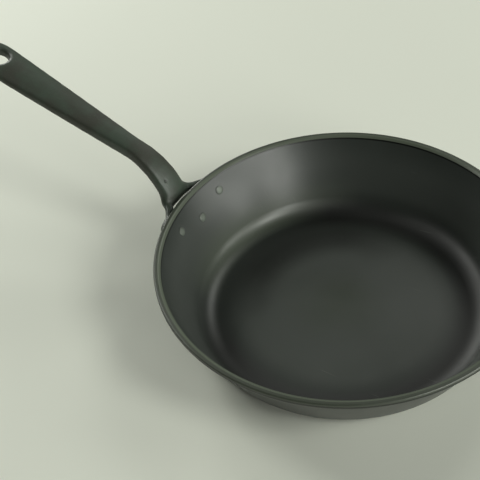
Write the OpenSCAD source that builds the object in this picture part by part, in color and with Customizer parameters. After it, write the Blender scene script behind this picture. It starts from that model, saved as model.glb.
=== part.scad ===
// Deep frying pan: a one-piece flared pan with a thick rolled rim, and a cast
// long handle riveted to its wall by a winged foot.
// Millimetres. Origin at the middle of the flat underside, +Z up,
// +X out along the handle.

/* [Pan] */
// outside diameter over the rim
rim_d = 280; // [220:1:320]
// height from the underside to the top of the rim
pan_h = 61; // [52:1:80]
// thickness of the wall
wall_t = 3; // [2:0.1:4]
// thickness of the floor
floor_t = 3; // [2:0.1:6]
// outside radius where the floor turns up into the wall
corner_r = 22; // [14:1:34]
// angle of the wall from upright
flare = 25.5; // [16:0.5:30]

/* [Rim] */
// how far the rolled edge stands out from the wall
bead_out = 3.1; // [2:0.1:5]
// height of the rolled edge
bead_h = 3.7; // [2.5:0.1:6]
// rounding on the outer corner of the rolled edge
bead_r = 1.2; // [0.5:0.1:1.8]
// bevel on the inner corner of the rolled edge
bead_bevel = 1.7; // [0.5:0.1:2.4]

/* [Handle] */
// slope of the long grip above level
grip_rise = 19.9; // [5:0.1:35]
// how far outside the rim the straight grip starts
grip_out = 44.8; // [40:0.2:52]
// how far above the rim's top the straight grip starts
grip_up = 29.3; // [26:0.1:34]
// radius of the bend from the foot up to the grip, on the middle line
bend_r = 53.6; // [48:0.2:62]
// level distance from the grip's start to the middle of the hanging hole
grip_reach = 129.2; // [95:0.2:175]
// thickness of the grip on its middle line
grip_t = 11.4; // [8:0.2:15]
// radius of the crowned top and underside of the grip
crown_r = 40; // [30:1:70]
// half width of the grip at its end
end_half_w = 17; // [12:0.5:19]
// half width at the slimmest place, where the straight grip starts
slim_half_w = 8.1; // [6:0.1:11]
// half width of the neck where it meets the foot
neck_half_w = 12; // [10:0.5:14]
// diameter of the hanging hole
hang_d = 18; // [8:0.5:22]

/* [Foot] */
// thickness of the plate lying on the wall
foot_t = 7; // [4:0.5:9]
// height of the plate's top edge below the rim's top
foot_drop = 4.2; // [3.8:0.1:8]
// reach of each wing either side of the handle's middle
wing_reach = 43; // [38:1:50]
// radius of the wing ends
wing_r = 7.6; // [6:0.2:9]
// radius of the lobe round the low rivet
lobe_r = 9.5; // [7:0.5:12]
// thickness of the bridge that carries the neck
bridge_t = 5.2; // [4:0.2:6]
// gap between the rim and the neck's end, seen from above
neck_gap = 5.8; // [4:0.2:7]
// half width of the window behind the neck's end
window_half_w = 13; // [8:0.5:14]
// gap between the rim and the bridge either side of the window, seen from above
slot_gap = 2.6; // [2:0.1:3.5]
// half width of that slot
slot_half_w = 23; // [15:0.5:25]
// radius of the hollow between neck and wing
root_r = 24; // [20:0.5:30]
// radius of the fillets where the neck's sides spread onto the bridge
neck_fillet_r = 8; // [4:0.5:10]
// reach of the bridge either side of the handle's middle
root_half_w = 25.5; // [25.5:0.5:27]
// play between the plate and the wall
foot_seat = 0.1; // [0.05:0.05:0.5]

/* [Rivets] */
// shank diameter
rivet_d = 6; // [4:0.5:7]
// distance of each side rivet from the handle's middle, round the wall
rivet_side = 28; // [26:0.5:32]
// height of the side rivets below the rim's top
rivet_drop = 13.8; // [13:0.2:16]
// how much lower the middle rivet sits
rivet_lower = 7.3; // [5:0.1:9]
// diameter of the heads inside the pan
inner_head_d = 10; // [8:0.5:12]
// height of the heads inside the pan
inner_head_h = 0.6; // [0.4:0.1:2]
// diameter of the heads outside the foot
outer_head_d = 11; // [8:0.5:12]
// height of the heads outside the foot
outer_head_h = 2.5; // [1:0.1:4]
// play round each shank
shank_play = 0.1; // [0.05:0.05:0.4]
// play under each head, for the curve of the wall
head_play = 0.2; // [0.15:0.05:0.4]

/* [Hidden] */
$fn = 96;
past = 1; // overrun of every cutting shape
root_bite = 1; // how far hollows, bridge and fillets reach into the neck
fillet_tuck = 0.05; // how far a fillet's edges sink into the faces it joins
rim_r = rim_d / 2;
flare_tan = tan(flare);
bead_z = pan_h - bead_h;
// the wall's outer line, and the corner arc it runs into
wall_top_r = rim_r - bead_out;
corner_side = corner_r * cos(flare);
corner_top = corner_r * (1 - sin(flare));
base_r = wall_top_r - (bead_z - corner_top) * flare_tan - corner_side;
function wall_r(z) = wall_top_r - (bead_z - z) * flare_tan;
// level thickness of the slanted wall and of the foot's plate
wall_level = wall_t / cos(flare);
foot_level = foot_t / cos(flare);
// the rim's inner corner before its bevel
lip_r = wall_r(pan_h) - wall_level;
foot_top = pan_h - foot_drop;
bridge_top = foot_top;
bridge_bottom = bridge_top - bridge_t;
rivet_z = pan_h - rivet_drop;
low_z = rivet_z - rivet_lower;
rivet_turn = rivet_side / wall_r(rivet_z) * 180 / PI;
neck_end_r = rim_r + neck_gap;
// middle of the bend, level with the handle's middle plane
grip_x = rim_r + grip_out;
grip_z = pan_h + grip_up;
bend_x = grip_x + bend_r * sin(grip_rise);
bend_z = grip_z - bend_r * cos(grip_rise);
hang_x = grip_x + grip_reach;
hang_z = grip_z + grip_reach * tan(grip_rise);
// plate's outer radius at its top edge, and the hollows that touch it
plate_r = wall_r(foot_top) + (foot_seat + foot_t) / cos(flare);
hollow_y = neck_half_w - root_bite + root_r;
hollow_x = sqrt((plate_r + root_r) * (plate_r + root_r) - hollow_y * hollow_y);
// neck's half width at the height where its fillets end
fillet_top_x = bend_x - sqrt(pow(bend_r, 2) - pow(bridge_top + neck_fillet_r - bend_z, 2));
fillet_side_w = neck_half_w
    - (neck_half_w - slim_half_w) * (fillet_top_x - neck_end_r) / (grip_x - neck_end_r);
root_end = bend_x - sqrt(pow(bend_r - grip_t / 2, 2) - pow(bridge_bottom - bend_z, 2)) - root_bite;

// region under one wall line: flat, corner arc, slanted wall, cut at the top
module bowl_half(in, z0, top) {
    r = corner_r - in;
    intersection() {
        union() {
            translate([base_r, corner_r]) circle(r);
            polygon([[0, z0], [base_r, z0], [base_r, corner_r],
                [base_r + r * cos(flare), corner_r - r * sin(flare)],
                [base_r + r * cos(flare) + (top - corner_r + r * sin(flare)) * flare_tan, top],
                [0, top]]);
        }
        translate([0, z0]) square([rim_d, top - z0]);
    }
}

// the rolled edge: a squared ring with its outer corner rounded
module bead_half() {
    w = rim_r - lip_r + past;
    translate([rim_r - w, bead_z]) square([w - bead_r, bead_h]);
    translate([rim_r - w, bead_z]) square([w, bead_h - bead_r]);
    translate([rim_r - bead_r, pan_h - bead_r]) circle(bead_r);
}

module pan_half() {
    difference() {
        union() {
            bowl_half(0, 0, pan_h);
            bead_half();
        }
        bowl_half(wall_t, floor_t, pan_h + past);
        polygon([[lip_r - bead_bevel, pan_h - bead_bevel], [lip_r - bead_bevel, pan_h + past],
            [lip_r + bead_bevel + past, pan_h + past], [lip_r + bead_bevel - bead_bevel * flare_tan, pan_h],
            [lip_r - bead_bevel * flare_tan, pan_h - bead_bevel]]);
    }
}

// stands a rivet's own axis square to the wall, pointing out
module at_rivet(turn, z) {
    rotate([0, 0, turn]) translate([wall_r(z), 0, z]) rotate([0, 90 + flare, 0]) children();
}

module at_rivets() {
    at_rivet(rivet_turn, rivet_z) children();
    at_rivet(0, low_z) children();
    at_rivet(-rivet_turn, rivet_z) children();
}

module shank_holes() {
    at_rivets() translate([0, 0, -wall_t - foot_t])
        cylinder(r = rivet_d / 2 + shank_play, h = wall_t + 3 * foot_t);
}

module pan_body() {
    color("dimgray") difference() {
        rotate_extrude() pan_half();
        shank_holes();
    }
}

// lens section of the grip, crowned above and below
module lens() {
    intersection() {
        translate([0, crown_r - grip_t / 2]) circle(crown_r);
        translate([0, grip_t / 2 - crown_r]) circle(crown_r);
    }
}

// neck and grip drawn about the bend's own level axis, so their ends meet exactly
module grip_sweep() {
    bend_turn = 90 - grip_rise - asin((bridge_bottom - bend_z) / bend_r) + 8;
    translate([bend_x, 0, bend_z]) rotate([90, 0, 0]) rotate([0, 0, 90 + grip_rise]) {
        rotate_extrude(angle = bend_turn) translate([bend_r, 0]) rotate(90) lens();
        translate([bend_r, 0, 0]) rotate([90, 0, 0]) linear_extrude(grip_reach + 2 * end_half_w)
            rotate(90) lens();
    }
}

// outline of neck and grip seen from above
module grip_outline() {
    polygon([[neck_end_r, -neck_half_w], [grip_x, -slim_half_w], [hang_x, -end_half_w],
        [hang_x, end_half_w], [grip_x, slim_half_w], [neck_end_r, neck_half_w]]);
    translate([hang_x, 0]) circle(end_half_w);
}

// outline of the bridge seen from above, flaring to the wings in two hollows
module bridge_outline() {
    difference() {
        translate([wall_r(bridge_bottom), -root_half_w])
            square([root_end - wall_r(bridge_bottom), 2 * root_half_w]);
        for (s = [-1, 1]) translate([hollow_x, s * hollow_y]) circle(root_r);
    }
}

// bridge: carries the neck between the wings
module bridge() {
    translate([0, 0, bridge_bottom]) linear_extrude(bridge_t) bridge_outline();
}

// fillets that spread the neck's two sides onto the bridge
module neck_fillets() {
    low = bridge_top - root_bite;
    high = bridge_top + neck_fillet_r - fillet_tuck;
    inner = neck_half_w - root_bite;
    outer = fillet_side_w + neck_fillet_r - fillet_tuck;
    intersection() {
        grip_sweep();
        translate([0, 0, low]) linear_extrude(high - low) bridge_outline();
        translate([neck_end_r, 0, 0]) rotate([90, 0, 90]) linear_extrude(2 * grip_t) difference() {
            for (s = [-1, 1]) translate([s * (inner + outer) / 2, (low + high) / 2])
                square([outer - inner, high - low], center = true);
            for (s = [-1, 1]) translate([s * outer, high]) circle(neck_fillet_r);
        }
    }
}

// point where a line outside two circles touches the first or second one
function touch(c, r, lean) = [c[0] + r * cos(lean), c[1] + r * sin(lean)];

// plate outline in the upright plane: two wings and a low lobe
module plate_outline() {
    wing = [wing_reach - wing_r, foot_top - wing_r];
    lobe = [0, low_z];
    d = wing - lobe;
    lean = atan2(d[1], d[0]) - acos((lobe_r - wing_r) / norm(d));
    low = touch(lobe, lobe_r, lean);
    out = touch(wing, wing_r, lean);
    polygon([lobe, low, out, wing, [wing[0], foot_top], [-wing[0], foot_top],
        [-wing[0], wing[1]], [-out[0], out[1]], [-low[0], low[1]]]);
    translate(lobe) circle(lobe_r);
    for (s = [-1, 1]) translate([s * wing[0], wing[1]]) circle(wing_r);
}

// curved plate lying on the wall
module plate() {
    reach = asin(wing_reach / wall_r(foot_top)) + 2;
    in = foot_seat / cos(flare);
    z0 = low_z - lobe_r - past;
    z1 = foot_top + past;
    intersection() {
        rotate([0, 0, -reach]) rotate_extrude(angle = 2 * reach)
            polygon([[wall_r(z0) + in, z0], [wall_r(z0) + in + foot_level, z0],
                [wall_r(z1) + in + foot_level, z1], [wall_r(z1) + in, z1]]);
        translate([wall_r(z0) / 2, 0, 0]) rotate([90, 0, 90]) linear_extrude(rim_r) plate_outline();
    }
}

// clear space behind the neck's end, and a narrow slot along the rim to each side
module window() {
    translate([0, 0, bridge_bottom - past]) linear_extrude(pan_h) {
        intersection() {
            circle(neck_end_r);
            translate([0, -window_half_w]) square([rim_d, 2 * window_half_w]);
        }
        intersection() {
            circle(rim_r + slot_gap);
            translate([0, -slot_half_w]) square([rim_d, 2 * slot_half_w]);
        }
    }
}

// everything inside this stays clear of the pan's wall and rim
module pan_clear() {
    rotate_extrude() polygon([[0, -past], [wall_r(-past) + foot_seat / cos(flare), -past],
        [wall_r(bead_z) + foot_seat / cos(flare), bead_z - foot_seat],
        [rim_r + neck_gap / 2, bead_z - foot_seat], [rim_r + neck_gap / 2, 2 * pan_h], [0, 2 * pan_h]]);
}

module handle() {
    color("gray") difference() {
        union() {
            plate();
            bridge();
            neck_fillets();
            intersection() {
                grip_sweep();
                translate([0, 0, bridge_bottom]) linear_extrude(hang_z + pan_h) grip_outline();
            }
        }
        window();
        pan_clear();
        shank_holes();
        translate([hang_x, 0, hang_z]) rotate([0, -grip_rise, 0])
            translate([0, 0, -2 * grip_t]) cylinder(r = hang_d / 2, h = 4 * grip_t);
    }
}

// low dome, flat side at the origin, rising along +Z
module dome(d, h) {
    ball = (d * d / 4 + h * h) / (2 * h);
    intersection() {
        translate([0, 0, h - ball]) sphere(ball);
        cylinder(r = d / 2, h = h);
    }
}

module rivet(turn, z) {
    outer = foot_seat + foot_t + head_play;
    inner = wall_t + head_play;
    color("silver") at_rivet(turn, z) {
        translate([0, 0, -inner]) cylinder(r = rivet_d / 2, h = inner + outer);
        translate([0, 0, outer]) dome(outer_head_d, outer_head_h);
        translate([0, 0, -inner]) mirror([0, 0, 1]) dome(inner_head_d, inner_head_h);
    }
}

module rivet_left() { rivet(rivet_turn, rivet_z); }
module rivet_low() { rivet(0, low_z); }
module rivet_right() { rivet(-rivet_turn, rivet_z); }

pan_body();
handle();
rivet_left();
rivet_low();
rivet_right();
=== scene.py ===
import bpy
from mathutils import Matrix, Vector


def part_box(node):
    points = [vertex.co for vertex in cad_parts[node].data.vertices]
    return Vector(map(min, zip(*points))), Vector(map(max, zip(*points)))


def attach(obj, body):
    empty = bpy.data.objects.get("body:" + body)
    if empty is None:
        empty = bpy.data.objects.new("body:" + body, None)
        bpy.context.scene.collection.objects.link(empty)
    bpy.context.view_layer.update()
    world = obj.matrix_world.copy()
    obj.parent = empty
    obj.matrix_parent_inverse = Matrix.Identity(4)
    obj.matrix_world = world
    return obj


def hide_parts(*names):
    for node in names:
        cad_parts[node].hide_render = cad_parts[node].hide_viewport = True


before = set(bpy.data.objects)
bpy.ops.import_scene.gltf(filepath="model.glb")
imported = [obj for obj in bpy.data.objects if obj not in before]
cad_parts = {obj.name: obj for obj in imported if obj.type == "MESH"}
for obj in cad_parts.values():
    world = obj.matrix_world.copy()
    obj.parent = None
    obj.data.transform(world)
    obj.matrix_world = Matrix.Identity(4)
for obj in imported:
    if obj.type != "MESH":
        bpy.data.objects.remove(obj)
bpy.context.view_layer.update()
PAN_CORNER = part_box("pan_body")[1]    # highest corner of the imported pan, at its rim

from math import cos, pi, radians, sin, tan

import bpy
from bpy.props import FloatProperty, IntProperty, PointerProperty, StringProperty
from mathutils import Matrix, Vector

bl_info = {
    "name": "Frying pan",
    "version": (1, 0, 0),
    "blender": (4, 5, 0),
    "location": "3D View > Sidebar > Frying pan",
    "description": "Builds a deep riveted frying pan of blackened steel with its finishes and studio",
    "category": "Object",
}

MM = 0.001
HUNDREDTHS = 5    # decimals of a metre that keep hundredths of a millimetre
BEYOND = 1.0    # further out than the pan reaches
WELD = 0.01 * MM    # points nearer than this are one point

# ---- shape of the pan
FLOOR_STEPS = 6
CORNER_STEPS = 24
BEAD_STEPS = 8
CREASE_STEPS = 3
SHARP = radians(30)    # edges sharper than this stay crisp
# millimetres out and up from the sharp edge between the rim's flat top and its bevel, which they soften
SHOULDER = ((0.9, 0.0), (0.3, -0.08), (-0.3, -0.4))
# millimetres out and up from the bevel's foot: the bevel's end, the foot and the start of the crease
BEVEL_FOOT = ((0.5, 0.4), (0.0, 0.0), (0.1, -0.2))

# ---- marks on the handle and the rivets
PIT = Vector((0.1536, 0.0050, 0.0727))    # casting flaw on the neck's crown
PIT_SOOT = 2.2 * MM    # how far the soot reaches from the pit's middle
# middles of the rivets' heads on the inner wall
RIVET_HEADS = ((0.1252, 0.0274, 0.0482), (0.1250, 0.0, 0.0407), (0.1252, -0.0274, 0.0482))
HEAD_PALE = 7 * MM    # how far the pale colour reaches on a rivet: worn steel and a painted highlight
HEAD_HALO = 10 * MM    # how far a pale halo reaches round a rivet: the pan worn thin, and painted light over the shade at the head's edge
HEAD_HALO_MOST = 0.55    # share of the paler colour in that halo
FINAL_ROUNDS = 4    # light easing after the last even spread of cells

# ---- where the pan's finish changes, as (low, high, softness, strength)
# outward from the edge of the floor
SCRAPED_FLOOR = (-BEYOND, -13.4 * MM, 11.5 * MM, 1.0)
# painted light on the lower wall, all round
PAINTED_LOWER_WALL_LIGHT = (16 * MM, 34 * MM, 6 * MM, 0.7)
# painted highlight on the lower wall by the handle
PAINTED_WALL_HIGHLIGHT = (5 * MM, 20 * MM, 7 * MM, 0.8)
# painted shadow of the far wall on the floor's edge
PAINTED_WALL_SHADOW = (-36.4 * MM, -7.7 * MM, 12 * MM, 0.7)
# painted shade in the corner, laid on in the carbon colour
PAINTED_CORNER_SHADE = (-6.7 * MM, 14 * MM, 7 * MM, 1.0)
# upward from the foot of the rim's bevel
# painted shade in the crease under the rim's bevel
PAINTED_CREASE_SHADE = (-1.3 * MM, -0.3 * MM, 0.2 * MM, 1.0)
# painted highlight on the rim's top
PAINTED_RIM_HIGHLIGHT = (0.0, BEYOND, 0.25 * MM, 1.0)
# outward from the wall's outer face, starting halfway through the wall
OUTER_FACE = (-1.5 * MM, BEYOND, 0.2 * MM, 0.5)
# directions from the pan's middle, and where each side's share starts and is full, as a cosine
WALL_HIGHLIGHT_SIDE = ((0.93, -0.36, 0.0), 0.65, 0.97)    # where the painted highlight on the lower wall is strongest
WALL_SHADOW_SIDE = ((0.848, -0.53, 0.0), 0.3, 0.85)    # where the far wall's painted shadow falls on the floor's edge
CORNER_SHADE_SIDE = ((1.0, 0.0, 0.0), 0.9, 0.55)    # all round but for the handle's side: where painted shade darkens the corner
CORNER_SHADE_LEAST = 0.1    # painted corner shade left on the handle's side
HEAT_STAIN = (0.004, 0.004, 0.003)    # middle of the olive stain on the pan's floor
STAIN_REACH = 48 * MM
# scratches, in millimetres: real ones are hair-fine, so they are drawn about 1 mm wide to show
SCRATCH_LONG = 100 / 3
SCRATCH_WIDE = 10 / 9
SCRATCH_TURN = 0.7    # radians from the handle's line

# ---- gloss
OIL_IOR = 1.6    # burnt-on oil
CASTING_IOR = 1.5    # thin oil on the casting
PAINT_IOR = 1.6
STEEL_ROUGH = 0.36    # satin, oiled
STEEL_ROUGH_SPREAD = 0.04
CRUST_ROUGH = 0.2    # how much rougher the corner is, under its painted shade
CASTING_ROUGH = (0.40, 0.51)    # smoothest and roughest patches, as cast and then oiled
RIVET_ROUGH = (0.38, 0.55)
RIVET_METAL = 0.3    # steel showing through what is left of the black
BOARD_ROUGH = 0.7

# ---- studio
TABLE_SIZE = 8.0
TABLE_CUTS = 3
# soft round lights: turn from the camera's right hand, rise above the table (degrees), watts
LIGHTS = ((340, 6, 20), (0, 22, 8), (120, 22, 21), (312, 22, 13),
          (60, 40, 7), (150, 40, 15), (330, 40, 18))
LIGHT_COLOUR = (0.98, 1.0, 0.94)
AIR_COLOUR = (0.95, 1.0, 0.92, 1.0)
AIR_STRENGTH = 0.02

# ---- colour sockets of a Mix node, by number because its other kinds of socket have the same names
MIX_FACTOR, MIX_BASE, MIX_OVER, MIX_RESULT = 0, 6, 7, 2


# ---------------------------------------------------------------- settings

class PanSizes(bpy.types.PropertyGroup):
    """Sizes of the one-piece steel pan"""
    rim_radius: FloatProperty(name="Rim radius", description="Outside radius over the rim",
                              default=round(PAN_CORNER[0], HUNDREDTHS), unit="LENGTH")
    depth: FloatProperty(name="Depth", description="Height from the underside to the rim's top",
                         default=round(PAN_CORNER[2], HUNDREDTHS), unit="LENGTH")
    wall: FloatProperty(name="Wall", description="Thickness of wall and floor",
                        default=3 * MM, unit="LENGTH")
    corner: FloatProperty(name="Corner", description="Outside radius between floor and wall",
                          default=22 * MM, unit="LENGTH")
    flare: FloatProperty(name="Flare", description="Lean of the wall from upright",
                         default=radians(25.5), subtype="ANGLE")
    bead_out: FloatProperty(name="Rim overhang", description="How far the rim stands out from the wall",
                            default=3.1 * MM, unit="LENGTH")
    bead_height: FloatProperty(name="Rim height", description="Height of the rim's band",
                               default=3.7 * MM, unit="LENGTH")
    bead_round: FloatProperty(name="Rim rounding", description="Rounding of the rim's outer edge",
                              default=1.2 * MM, unit="LENGTH")
    bead_bevel: FloatProperty(name="Rim bevel", description="Bevel on the rim's inner edge",
                              default=1.7 * MM, unit="LENGTH")
    bead_chamfer: FloatProperty(name="Rim chamfer", description="Chamfer on the rim's lower edge",
                                default=0.4 * MM, unit="LENGTH")
    bead_tuck: FloatProperty(name="Rim tuck", description="How far the wall tucks in under the rim",
                             default=0.2 * MM, unit="LENGTH")
    crease: FloatProperty(name="Crease", description="Width of the crease under the rim's inner bevel",
                          default=1.1 * MM, unit="LENGTH")
    crease_deep: FloatProperty(name="Crease depth", description="Depth of that crease",
                               default=0.5 * MM, unit="LENGTH")
    around: IntProperty(name="Steps", description="Steps round the pan", default=288)


class CastSizes(bpy.types.PropertyGroup):
    """How softly the cast handle and the rivets are rounded"""
    handle_cell: FloatProperty(name="Handle cell", description="Size of the cells that round the casting",
                               default=0.9 * MM, unit="LENGTH")
    handle_rounds: IntProperty(name="Handle rounding", description="How often the casting is eased",
                               default=36)
    handle_grow: FloatProperty(name="Handle growth", description="Growth before easing shrinks it again",
                               default=0.3 * MM, unit="LENGTH")
    pit_depth: FloatProperty(name="Pit depth", description="Depth of the casting flaw in the neck",
                             default=0.7 * MM, unit="LENGTH")
    pit_reach: FloatProperty(name="Pit reach", description="Radius of the casting flaw",
                             default=1.7 * MM, unit="LENGTH")
    rivet_cell: FloatProperty(name="Rivet cell", description="Size of the cells that round a rivet",
                              default=0.25 * MM, unit="LENGTH")
    rivet_rounds: IntProperty(name="Rivet rounding", description="How often a rivet is eased",
                              default=140)


class Finishes(bpy.types.PropertyGroup):
    """Colours of the surfaces"""
    black: StringProperty(name="Burnt-on oil", description="Black skin of burnt-on oil, sRGB hex",
                          default="#2b302c")
    # this colour also paints light on the lower wall and round the rivets
    thin: StringProperty(name="Thin black", description="Where scouring left the black thin, sRGB hex",
                         default="#484c48")
    # this colour paints shade: in the corner, in the crease under the rim's bevel and as the wall's shadow
    # on the floor; it also darkens the outer wall
    carbon: StringProperty(name="Carbon", description="Thick carbon in the corner, sRGB hex",
                           default="#131512")
    heat: StringProperty(name="Heat stain", description="Olive stain that the flame left, sRGB hex",
                         default="#393f33")
    scratch: StringProperty(name="Scratch", description="Scratches through the black, sRGB hex",
                            default="#6d7168")
    # this colour paints highlights: on the rim's top and on the lower wall by the handle
    rim: StringProperty(name="Rim", description="Rim and lower wall rubbed paler, sRGB hex",
                        default="#585f52")
    casting: StringProperty(name="Casting", description="Blackened casting, sRGB hex", default="#3e483e")
    casting_brown: StringProperty(name="Brown patches", description="Patches browned by oil, sRGB hex",
                                  default="#383a32")
    casting_pale: StringProperty(name="Pale specks", description="Worn specks of the casting, sRGB hex",
                                 default="#455244")
    pit: StringProperty(name="Pit", description="Soot in the casting's pit, sRGB hex", default="#141612")
    # this pale colour is worn steel and also a painted highlight on the heads
    rivet: StringProperty(name="Rivet", description="Rivet steel, worn paler than the pan, sRGB hex",
                          default="#737a70")
    table: StringProperty(name="Table", description="Pale table, sRGB hex", default="#e8ebdf")
    table_dim: StringProperty(name="Table, dim", description="Table's dimmer patches, sRGB hex",
                              default="#e3e6da")


class Studio(bpy.types.PropertyGroup):
    """Camera and lights"""
    light_away: FloatProperty(name="Light distance", description="Distance of each light",
                              default=2.4, unit="LENGTH")
    light_size: FloatProperty(name="Light size", description="Width of each round light",
                              default=0.8, unit="LENGTH")
    lens: FloatProperty(name="Lens", description="Focal length in millimetres", default=75.0)
    away: FloatProperty(name="Away", description="Level distance from the pan's middle to the camera",
                        default=523.402 * MM, unit="LENGTH")
    height: FloatProperty(name="Height", description="Height of the camera",
                          default=581.676 * MM, unit="LENGTH")
    side: FloatProperty(name="Side", description="Turn of the camera round the pan",
                        default=radians(-152.1), subtype="ANGLE")
    aim: FloatProperty(name="Aim", description="Turn of the view away from the pan's middle",
                       default=0.14187, subtype="ANGLE")
    dip: FloatProperty(name="Dip", description="How far the camera looks down",
                       default=0.76652, subtype="ANGLE")
    roll: FloatProperty(name="Roll", description="Tilt of the camera about its own axis",
                        default=-0.10897, subtype="ANGLE")


# ---------------------------------------------------------------- helpers

def linear(hex_colour):
    """Turn an sRGB hex colour into the linear values that nodes use."""
    out = []
    for k in (1, 3, 5):
        c = int(hex_colour[k:k + 2], 16) / 255
        out.append(c / 12.92 if c <= 0.04045 else ((c + 0.055) / 1.055) ** 2.4)
    return (*out, 1.0)


def add(tree, kind, inputs=None, links=None, **settings):
    """Add one node with its own settings, its socket values and its incoming links."""
    made = tree.nodes.new(kind)
    for field, value in settings.items():
        setattr(made, field, value)
    for socket, value in (inputs or {}).items():
        made.inputs[socket].default_value = value
    for socket, source in (links or {}).items():
        tree.links.new(source, made.inputs[socket])
    return made


def start(name):
    """Name the primitive just added, and go into edit mode on it."""
    piece = bpy.context.object
    piece.name = piece.data.name = name
    bpy.ops.object.mode_set(mode="EDIT")
    return piece


def clear_selection():
    """Deselect everything, so that an operator acts on the new piece only."""
    if bpy.context.mode != "OBJECT":
        bpy.ops.object.mode_set(mode="OBJECT")
    bpy.ops.object.select_all(action="DESELECT")


def pick(piece, chosen):
    """Go into edit mode with only the chosen points selected."""
    bpy.ops.object.mode_set(mode="EDIT")
    bpy.ops.mesh.select_mode(type="VERT")
    bpy.ops.mesh.select_all(action="DESELECT")
    bpy.ops.object.mode_set(mode="OBJECT")
    for point in piece.data.vertices:
        point.select = point.index in chosen
    bpy.ops.object.mode_set(mode="EDIT")


def arc(middle, radius, a0, a1, steps):
    """Points along an arc, from angle a0 to a1 in radians."""
    return [(middle[0] + radius * cos(a0 + (a1 - a0) * k / steps),
             middle[1] + radius * sin(a0 + (a1 - a0) * k / steps)) for k in range(steps + 1)]


def floor_radius(s):
    """Radius of the pan's flat floor, where the corner starts to turn up."""
    rise = s.depth - s.bead_height - s.corner * (1 - sin(s.flare))
    return s.rim_radius - s.bead_out - rise * tan(s.flare) - s.corner * cos(s.flare)


def turned(name, outline, steps):
    """Turn an outline of (radius, height) points round the upright axis into a closed shell."""
    clear_selection()
    # a tiny square, drawn together into the outline's first point
    bpy.ops.mesh.primitive_plane_add(size=MM, location=(outline[0][0], 0, outline[0][1]))
    bpy.ops.object.transform_apply()
    piece = start(name)
    bpy.ops.mesh.merge(type="CENTER")
    for a, b in zip(outline, outline[1:]):
        bpy.ops.mesh.extrude_vertices_move(TRANSFORM_OT_translate={"value": (b[0] - a[0], 0, b[1] - a[1])})
    bpy.ops.mesh.select_all(action="SELECT")
    bpy.ops.mesh.spin(steps=steps, angle=2 * pi, center=(0, 0, 0), axis=(0, 0, 1))
    bpy.ops.mesh.select_all(action="SELECT")
    bpy.ops.mesh.remove_doubles(threshold=WELD)
    bpy.ops.mesh.normals_make_consistent(inside=False)
    bpy.ops.object.mode_set(mode="OBJECT")
    return piece


def eased_copy(name, node, cell, rounds, finish, grow=0.0):
    """Copy a CAD node's shape, round its edges as casting or hammering leaves them, and give it a finish.

    The shape is rebuilt from even cells and eased, twice over: the first time it may also grow by a
    little, because easing shrinks it again, and the second time is a light one that leaves clean cells.
    """
    clear_selection()
    piece = bpy.data.objects.new(name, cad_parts[node].data.copy())
    bpy.context.scene.collection.objects.link(piece)
    piece.data.name = name
    piece.data.materials.clear()
    bpy.context.view_layer.objects.active = piece
    piece.select_set(True)
    bpy.ops.object.mode_set(mode="EDIT")
    bpy.ops.mesh.select_all(action="SELECT")
    bpy.ops.mesh.remove_doubles(threshold=WELD)
    bpy.ops.object.mode_set(mode="OBJECT")
    for passes, growth in ((rounds, grow), (FINAL_ROUNDS, 0.0)):
        cells = piece.modifiers.new("cells", "REMESH")
        cells.mode = "VOXEL"
        cells.voxel_size = cell
        bpy.ops.object.modifier_apply(modifier=cells.name)
        if growth > 0:
            swell = piece.modifiers.new("swell", "DISPLACE")
            swell.strength = growth
            swell.mid_level = 0
            bpy.ops.object.modifier_apply(modifier=swell.name)
        ease = piece.modifiers.new("ease", "SMOOTH")
        ease.factor = 0.5
        ease.iterations = passes
        bpy.ops.object.modifier_apply(modifier=ease.name)
    bpy.ops.object.shade_smooth()
    piece.data.materials.append(finish)
    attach(piece, "root")
    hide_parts(node)
    return piece


# ---------------------------------------------------------------- finishes

def new_finish(name, ior):
    """Start a finish, and return it with its node tree, its shader and the place on the piece."""
    finish = bpy.data.materials.new(name)
    finish.use_nodes = True
    tree = finish.node_tree
    shader = tree.nodes["Principled BSDF"]
    shader.inputs["IOR"].default_value = ior
    return finish, tree, shader, add(tree, "ShaderNodeTexCoord").outputs["Object"]


def per_mm(size):
    """Noise scale, in repeats to the metre, for spots this many millimetres across."""
    return 1 / (size * MM)


def near(tree, where, place, reach, most=1.0):
    """Full at a place, falling to 0 at a distance of reach from it."""
    gap = add(tree, "ShaderNodeVectorMath", {1: place}, {0: where}, operation="DISTANCE").outputs["Value"]
    return add(tree, "ShaderNodeMapRange", {"From Min": reach, "From Max": 0.0, "To Max": most},
               {"Value": gap}, interpolation_type="SMOOTHSTEP").outputs["Result"]


def band(tree, value, low, high, soft, most):
    """Full between two values and 0 outside them, with soft edges."""
    rise = add(tree, "ShaderNodeMapRange", {"From Min": low - soft, "From Max": low + soft},
               {"Value": value}, interpolation_type="SMOOTHSTEP").outputs["Result"]
    fall = add(tree, "ShaderNodeMapRange",
               {"From Min": high + soft, "From Max": high - soft, "To Max": most},
               {"Value": value}, interpolation_type="SMOOTHSTEP").outputs["Result"]
    return add(tree, "ShaderNodeMath", None, {0: rise, 1: fall}, operation="MULTIPLY").outputs[0]


def facing(tree, side, direction, start_at, full_at, least=0.0):
    """Share of a finish by how nearly a side of the pan faces a direction."""
    cosine = add(tree, "ShaderNodeVectorMath", {1: direction}, {0: side},
                 operation="DOT_PRODUCT").outputs["Value"]
    return add(tree, "ShaderNodeMapRange", {"From Min": start_at, "From Max": full_at, "To Min": least},
               {"Value": cosine}).outputs["Result"]


def lay(tree, base, hex_colour, *shares):
    """Lay a colour over a hex colour or over the colours so far, by the product of its shares."""
    share = shares[0]
    for other in shares[1:]:
        share = add(tree, "ShaderNodeMath", None, {0: share, 1: other}, operation="MULTIPLY").outputs[0]
    colours = {MIX_OVER: linear(hex_colour)}
    links = {MIX_FACTOR: share}
    if isinstance(base, str):
        colours[MIX_BASE] = linear(base)
    else:
        links[MIX_BASE] = base
    return add(tree, "ShaderNodeMix", colours, links, data_type="RGBA").outputs[MIX_RESULT]


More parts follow.
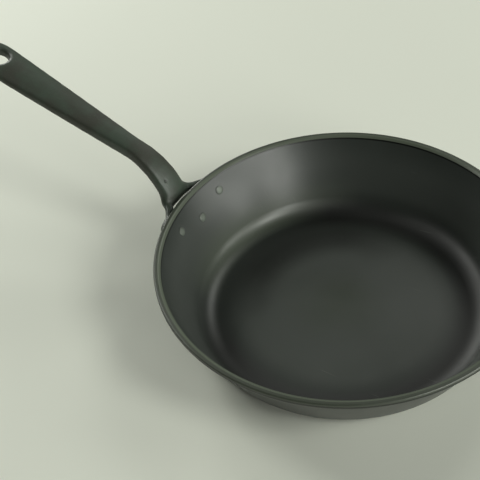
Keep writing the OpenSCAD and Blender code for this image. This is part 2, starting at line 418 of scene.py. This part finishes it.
def inner_tints(tree, tint, where, past_floor, side, crust_and_corner_shade, cloud):
    """Lay the pan's inside over its black skin: the scraped floor, painted light and a painted highlight
    on the lower wall, the wall's painted shadow and painted shade in the corner, and pale halos round the
    rivets.
    """
    f = bpy.context.scene.pan_finishes
    tint = lay(tree, tint, f.thin, band(tree, past_floor, *SCRAPED_FLOOR))
    # painted light on the lower wall, in the thin black's colour
    tint = lay(tree, tint, f.thin, band(tree, past_floor, *PAINTED_LOWER_WALL_LIGHT))
    # painted highlight on the lower wall by the handle, in the rim's pale colour
    wall_highlight = band(tree, past_floor, *PAINTED_WALL_HIGHLIGHT)
    tint = lay(tree, tint, f.rim, wall_highlight, facing(tree, side, *WALL_HIGHLIGHT_SIDE))
    # painted shadow of the far wall on the floor, laid in the carbon colour
    wall_shadow = band(tree, past_floor, *PAINTED_WALL_SHADOW)
    tint = lay(tree, tint, f.carbon, wall_shadow, facing(tree, side, *WALL_SHADOW_SIDE))
    # painted shade in the corner
    tint = lay(tree, tint, f.carbon, crust_and_corner_shade)
    # pale halo round each rivet: worn thin, and painted light over the shade at the head's edge
    for head in RIVET_HEADS:
        tint = lay(tree, tint, f.thin, near(tree, where, head, HEAD_HALO, HEAD_HALO_MOST))
    return lay(tree, tint, f.heat, near(tree, where, HEAT_STAIN, STAIN_REACH), cloud)


def outer_tints(tree, tint, where, radius):
    """Lay painted shade in the crease under the rim's bevel, a painted highlight on the rim and a darker
    outer wall over the tints.
    """
    f = bpy.context.scene.pan_finishes
    s = bpy.context.scene.pan_sizes
    height = add(tree, "ShaderNodeSeparateXYZ", None, {0: where}).outputs["Z"]
    above = add(tree, "ShaderNodeMath", {1: s.depth - s.bead_bevel}, {0: height},
                operation="SUBTRACT").outputs[0]
    # painted shade in the crease under the rim's bevel
    tint = lay(tree, tint, f.carbon, band(tree, above, *PAINTED_CREASE_SHADE))
    # painted highlight on the rim
    tint = lay(tree, tint, f.rim, band(tree, above, *PAINTED_RIM_HIGHLIGHT))
    # the wall's outer face lies at one radius once its lean is taken out
    upright = add(tree, "ShaderNodeMath", {1: -tan(s.flare)}, {0: height, 2: radius},
                  operation="MULTIPLY_ADD").outputs[0]
    face = s.rim_radius - s.bead_out - (s.depth - s.bead_height) * tan(s.flare)
    beyond = add(tree, "ShaderNodeMath", {1: face}, {0: upright}, operation="SUBTRACT").outputs[0]
    return lay(tree, tint, f.carbon, band(tree, beyond, *OUTER_FACE))


def blackened_steel():
    """Spun carbon steel under a skin of burnt-on oil.

    It reads as a dark satin skin, cloudy where it is thicker. It is thin on the scraped floor. Light is
    painted on the lower wall, with a painted highlight on it by the handle and on the rim, and shade is
    painted in the corner, under the rim's bevel and as the wall's shadow on the floor's edge. It has
    faint turning rings, an olive stain and a few fine scratches.
    """
    f = bpy.context.scene.pan_finishes
    finish, tree, shader, where = new_finish("burnt_oil_on_spun_steel", OIL_IOR)
    flat = add(tree, "ShaderNodeVectorMath", {1: (1.0, 1.0, 0.0)}, {0: where},
               operation="MULTIPLY").outputs["Vector"]
    side = add(tree, "ShaderNodeVectorMath", None, {0: flat}, operation="NORMALIZE").outputs["Vector"]
    radius = add(tree, "ShaderNodeVectorMath", None, {0: flat}, operation="LENGTH").outputs["Value"]
    past_floor = add(tree, "ShaderNodeMath", {1: floor_radius(bpy.context.scene.pan_sizes)}, {0: radius},
                     operation="SUBTRACT").outputs[0]
    cloud = add(tree, "ShaderNodeTexNoise", {"Scale": per_mm(55), "Detail": 5.0, "Roughness": 0.6},
                {"Vector": where}).outputs["Fac"]
    thinner = add(tree, "ShaderNodeMapRange", {"From Min": 0.35, "From Max": 0.75, "To Max": 0.35},
                  {"Value": cloud}).outputs["Result"]
    # painted shade in the corner, which also makes the corner rougher
    crust_and_corner_shade = add(tree, "ShaderNodeMath", None, {0: band(tree, past_floor, *PAINTED_CORNER_SHADE),
                                               1: facing(tree, side, *CORNER_SHADE_SIDE, CORNER_SHADE_LEAST)},
                operation="MULTIPLY").outputs[0]
    tint = lay(tree, f.black, f.thin, thinner)
    tint = inner_tints(tree, tint, where, past_floor, side, crust_and_corner_shade, cloud)
    tint = outer_tints(tree, tint, where, radius)
    along = add(tree, "ShaderNodeMapping",
                {"Rotation": (0.0, 0.0, SCRATCH_TURN),
                 "Scale": (per_mm(SCRATCH_LONG), per_mm(SCRATCH_WIDE), per_mm(SCRATCH_LONG))},
                {"Vector": where}).outputs["Vector"]
    lines = add(tree, "ShaderNodeTexNoise", {"Scale": 1.0, "Detail": 1.0},
                {"Vector": along}).outputs["Fac"]
    scratch = add(tree, "ShaderNodeMapRange", {"From Min": 0.76, "From Max": 0.82, "To Max": 0.5},
                  {"Value": lines}).outputs["Result"]
    tree.links.new(lay(tree, tint, f.scratch, scratch), shader.inputs["Base Color"])
    gloss = add(tree, "ShaderNodeMapRange",
                {"From Min": 0.3, "From Max": 0.7, "To Min": STEEL_ROUGH + STEEL_ROUGH_SPREAD,
                 "To Max": STEEL_ROUGH - STEEL_ROUGH_SPREAD}, {"Value": cloud}).outputs["Result"]
    rough = add(tree, "ShaderNodeMath", {1: CRUST_ROUGH}, {0: crust_and_corner_shade, 2: gloss},
                operation="MULTIPLY_ADD").outputs[0]
    tree.links.new(rough, shader.inputs["Roughness"])
    # turning rings are a few tenths of a millimetre apart, and are drawn at 1.6 mm to show
    rings = add(tree, "ShaderNodeTexNoise", {"Scale": per_mm(1.6), "Detail": 2.0}, {"W": radius},
                noise_dimensions="1D").outputs["Fac"]
    peel = add(tree, "ShaderNodeTexNoise", {"Scale": per_mm(2.5), "Detail": 3.0},
               {"Vector": where}).outputs["Fac"]
    turning = add(tree, "ShaderNodeBump", {"Strength": 0.12, "Distance": 0.1 * MM}, {"Height": rings})
    skin = add(tree, "ShaderNodeBump", {"Strength": 0.15, "Distance": 0.15 * MM},
               {"Height": peel, "Normal": turning.outputs["Normal"]})
    tree.links.new(skin.outputs["Normal"], shader.inputs["Normal"])
    return finish


def blackened_casting():
    """Cast handle, sand-cast and blackened with oil.

    It reads as satin metal with a fine uneven grain, green-grey with browner patches, and with soot
    in the pit of its neck.
    """
    f = bpy.context.scene.pan_finishes
    finish, tree, shader, where = new_finish("oiled_casting", CASTING_IOR)
    patches = add(tree, "ShaderNodeTexNoise", {"Scale": per_mm(26), "Detail": 4.0, "Roughness": 0.5},
                  {"Vector": where}).outputs["Fac"]
    brown = add(tree, "ShaderNodeMapRange", {"From Min": 0.42, "From Max": 0.62},
                {"Value": patches}).outputs["Result"]
    # sand leaves a grain of a few tenths of a millimetre, drawn at 1.4 mm to show
    grain = add(tree, "ShaderNodeTexNoise", {"Scale": per_mm(1.4), "Detail": 3.0},
                {"Vector": where}).outputs["Fac"]
    speck = add(tree, "ShaderNodeMapRange", {"From Min": 0.55, "From Max": 0.75, "To Max": 0.5},
                {"Value": grain}).outputs["Result"]
    tint = lay(tree, f.casting, f.casting_brown, brown)
    tint = lay(tree, tint, f.casting_pale, speck)
    tint = lay(tree, tint, f.pit, near(tree, where, PIT, PIT_SOOT))
    tree.links.new(tint, shader.inputs["Base Color"])
    rough = add(tree, "ShaderNodeMapRange",
                {"From Min": 0.3, "From Max": 0.7, "To Min": CASTING_ROUGH[0], "To Max": CASTING_ROUGH[1]},
                {"Value": patches}).outputs["Result"]
    tree.links.new(rough, shader.inputs["Roughness"])
    wave = add(tree, "ShaderNodeTexNoise", {"Scale": per_mm(9), "Detail": 2.0},
               {"Vector": where}).outputs["Fac"]
    swell = add(tree, "ShaderNodeBump", {"Strength": 0.35, "Distance": 0.5 * MM}, {"Height": wave})
    sand = add(tree, "ShaderNodeBump", {"Strength": 0.3, "Distance": 0.2 * MM},
               {"Height": grain, "Normal": swell.outputs["Normal"]})
    tree.links.new(sand.outputs["Normal"], shader.inputs["Normal"])
    return finish


def worn_rivet():
    """Cold-headed steel rivet, blackened and then rubbed paler than the pan by cleaning.

    It reads as a dull pale spot on the inside of the wall, worn paler and with a painted highlight, dented
    and mottled, and stays dark outside.
    """
    f = bpy.context.scene.pan_finishes
    finish, tree, shader, where = new_finish("worn_rivet_steel", OIL_IOR)
    shader.inputs["Metallic"].default_value = RIVET_METAL
    mottle = add(tree, "ShaderNodeTexNoise", {"Scale": per_mm(4), "Detail": 4.0},
                 {"Vector": where}).outputs["Fac"]
    tint = lay(tree, f.thin, f.black, mottle)
    # pale heads: worn steel with a painted highlight
    for head in RIVET_HEADS:
        tint = lay(tree, tint, f.rivet, near(tree, where, head, HEAD_PALE))
    tree.links.new(tint, shader.inputs["Base Color"])
    rough = add(tree, "ShaderNodeMapRange", {"To Min": RIVET_ROUGH[0], "To Max": RIVET_ROUGH[1]},
                {"Value": mottle}).outputs["Result"]
    tree.links.new(rough, shader.inputs["Roughness"])
    dents = add(tree, "ShaderNodeBump", {"Strength": 0.3, "Distance": 0.2 * MM}, {"Height": mottle})
    tree.links.new(dents.outputs["Normal"], shader.inputs["Normal"])
    return finish


def painted_board():
    """Pale painted board. It reads as matt, with only a breath of unevenness."""
    f = bpy.context.scene.pan_finishes
    finish, tree, shader, where = new_finish("pale_painted_board", PAINT_IOR)
    breath = add(tree, "ShaderNodeTexNoise", {"Scale": per_mm(300), "Detail": 2.0},
                 {"Vector": where}).outputs["Fac"]
    tree.links.new(lay(tree, f.table, f.table_dim, breath), shader.inputs["Base Color"])
    shader.inputs["Roughness"].default_value = BOARD_ROUGH
    return finish


# ---------------------------------------------------------------- pieces

def outer_outline(s):
    """Outside of the pan, from the middle of its underside up to the rim's flat top."""
    floor_r = floor_radius(s)
    bead_z = s.depth - s.bead_height
    outline = [(floor_r * k / FLOOR_STEPS, 0) for k in range(FLOOR_STEPS)]
    outline += arc((floor_r, s.corner), s.corner, -pi / 2, -s.flare, CORNER_STEPS)
    outline += [(s.rim_radius - s.bead_out - s.bead_tuck, bead_z),
                (s.rim_radius - s.bead_chamfer, bead_z),
                (s.rim_radius, bead_z + s.bead_chamfer)]
    round_middle = (s.rim_radius - s.bead_round, s.depth - s.bead_round)
    outline += arc(round_middle, s.bead_round, 0, pi / 2, BEAD_STEPS)
    return outline


def inner_outline(s):
    """Inside of the pan, from the rim's flat top over its bevel and crease to the middle of the floor."""
    floor_r = floor_radius(s)
    slope = tan(s.flare)
    lip = s.rim_radius - s.bead_out + s.bead_height * slope - s.wall / cos(s.flare)
    foot_r = lip - s.bead_bevel * slope
    foot_z = s.depth - s.bead_bevel
    outline = [(foot_r + s.bead_bevel + out * MM, s.depth + up * MM) for out, up in SHOULDER]
    outline += [(foot_r + out * MM, foot_z + up * MM) for out, up in BEVEL_FOOT]
    # the crease follows the wall down and in, hollowed most at its middle
    for k in range(CREASE_STEPS):
        back = (0.25 + 0.5 * k) * s.crease * slope
        drop = (0.25 + 0.375 * k) * s.crease
        hollow = s.crease_deep * sin(pi * (k + 1) / (CREASE_STEPS + 1))
        outline.append((foot_r - back + hollow, foot_z - drop))
    outline += arc((floor_r, s.corner), s.corner - s.wall, -s.flare, -pi / 2, CORNER_STEPS)
    outline += [(floor_r * k / FLOOR_STEPS, s.wall) for k in reversed(range(FLOOR_STEPS))]
    return outline


class PAN_OT_body(bpy.types.Operator):
    """Turn the pan's body with its rounded rim"""
    bl_idname = "pan.body"
    bl_label = "Pan body"

    def execute(self, context):
        s = context.scene.pan_sizes
        piece = turned("pan_shell", outer_outline(s) + inner_outline(s), s.around)
        bpy.ops.object.shade_smooth_by_angle(angle=SHARP)
        piece.data.materials.append(blackened_steel())
        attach(piece, "root")
        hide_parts("pan_body")
        return {"FINISHED"}


class PAN_OT_handle(bpy.types.Operator):
    """Round the cast handle's edges and sink the pit in its neck"""
    bl_idname = "pan.handle"
    bl_label = "Handle"

    def execute(self, context):
        s = context.scene.cast_sizes
        piece = eased_copy("cast_handle", "handle", s.handle_cell, s.handle_rounds, blackened_casting(),
                           s.handle_grow)
        spot = min(piece.data.vertices, key=lambda v: (v.co - PIT).length)
        down = tuple(-s.pit_depth * c for c in spot.normal)
        pick(piece, {spot.index})
        bpy.ops.transform.translate(value=down, use_proportional_edit=True,
                                    proportional_edit_falloff="SMOOTH", proportional_size=s.pit_reach)
        bpy.ops.object.mode_set(mode="OBJECT")
        return {"FINISHED"}


class PAN_OT_rivets(bpy.types.Operator):
    """Round the three rivets' heads"""
    bl_idname = "pan.rivets"
    bl_label = "Rivets"

    def execute(self, context):
        s = context.scene.cast_sizes
        finish = worn_rivet()
        for node in ("rivet_left", "rivet_low", "rivet_right"):
            eased_copy("worn_" + node, node, s.rivet_cell, s.rivet_rounds, finish)
        return {"FINISHED"}


def lay_table():
    """Lay a broad pale table under the pan."""
    clear_selection()
    bpy.ops.mesh.primitive_plane_add(size=TABLE_SIZE)
    table = start("table")
    bpy.ops.mesh.subdivide(number_cuts=TABLE_CUTS)
    bpy.ops.object.mode_set(mode="OBJECT")
    table.data.materials.append(painted_board())


def set_camera(s):
    """Stand the camera at its height and turn it down towards the pan."""
    data = bpy.data.cameras.new("camera")
    data.lens = s.lens
    camera = bpy.data.objects.new("camera", data)
    bpy.context.scene.collection.objects.link(camera)
    place = Matrix.Rotation(s.side, 4, "Z") @ Vector((0, -s.away, s.height))
    camera.matrix_world = (Matrix.Translation(place) @ Matrix.Rotation(s.side + s.aim, 4, "Z")
                           @ Matrix.Rotation(pi / 2 - s.dip, 4, "X") @ Matrix.Rotation(s.roll, 4, "Z"))
    bpy.context.scene.camera = camera


def hang_light(s, turn, rise, watts):
    """Hang one soft round light that faces the pan."""
    data = bpy.data.lights.new("soft_light", "AREA")
    data.shape = "DISK"
    data.size = s.light_size
    data.energy = watts
    data.color = LIGHT_COLOUR
    light = bpy.data.objects.new("soft_light", data)
    bpy.context.scene.collection.objects.link(light)
    out = Vector((cos(radians(rise)), 0, sin(radians(rise))))
    out = Matrix.Rotation(s.side + radians(turn), 3, "Z") @ out
    facing_pan = out.to_track_quat("Z", "Y").to_matrix().to_4x4()
    light.matrix_world = Matrix.Translation(s.light_away * out) @ facing_pan
    light.visible_camera = False


class PAN_OT_stage(bpy.types.Operator):
    """Lay the table, hang the lights and set the camera"""
    bl_idname = "pan.stage"
    bl_label = "Stage"

    def execute(self, context):
        s = context.scene.studio
        lay_table()
        set_camera(s)
        for light in LIGHTS:
            hang_light(s, *light)
        world = bpy.data.worlds.new("studio")
        world.use_nodes = True
        air = world.node_tree.nodes["Background"]
        air.inputs["Color"].default_value = AIR_COLOUR
        air.inputs["Strength"].default_value = AIR_STRENGTH
        context.scene.world = world
        context.scene.view_settings.view_transform = "Standard"
        return {"FINISHED"}


class PAN_PT_panel(bpy.types.Panel):
    """Lists the pieces"""
    bl_idname = "PAN_PT_panel"
    bl_label = "Frying pan"
    bl_space_type = "VIEW_3D"
    bl_region_type = "UI"
    bl_category = "Frying pan"

    def draw(self, context):
        for piece in PIECES:
            self.layout.operator(piece.bl_idname)


PIECES = (PAN_OT_body, PAN_OT_handle, PAN_OT_rivets, PAN_OT_stage)
SETTINGS = {"pan_sizes": PanSizes, "cast_sizes": CastSizes,
            "pan_finishes": Finishes, "studio": Studio}


def register():
    for kind in (*SETTINGS.values(), *PIECES, PAN_PT_panel):
        bpy.utils.register_class(kind)
    for name, kind in SETTINGS.items():
        setattr(bpy.types.Scene, name, PointerProperty(type=kind))


def unregister():
    for name in SETTINGS:
        delattr(bpy.types.Scene, name)
    for kind in (PAN_PT_panel, *reversed(PIECES), *reversed(tuple(SETTINGS.values()))):
        bpy.utils.unregister_class(kind)


def main():
    register()
    bpy.ops.pan.body()
    bpy.ops.pan.handle()
    bpy.ops.pan.rivets()
    bpy.ops.pan.stage()


if __name__ == "__main__":
    main()
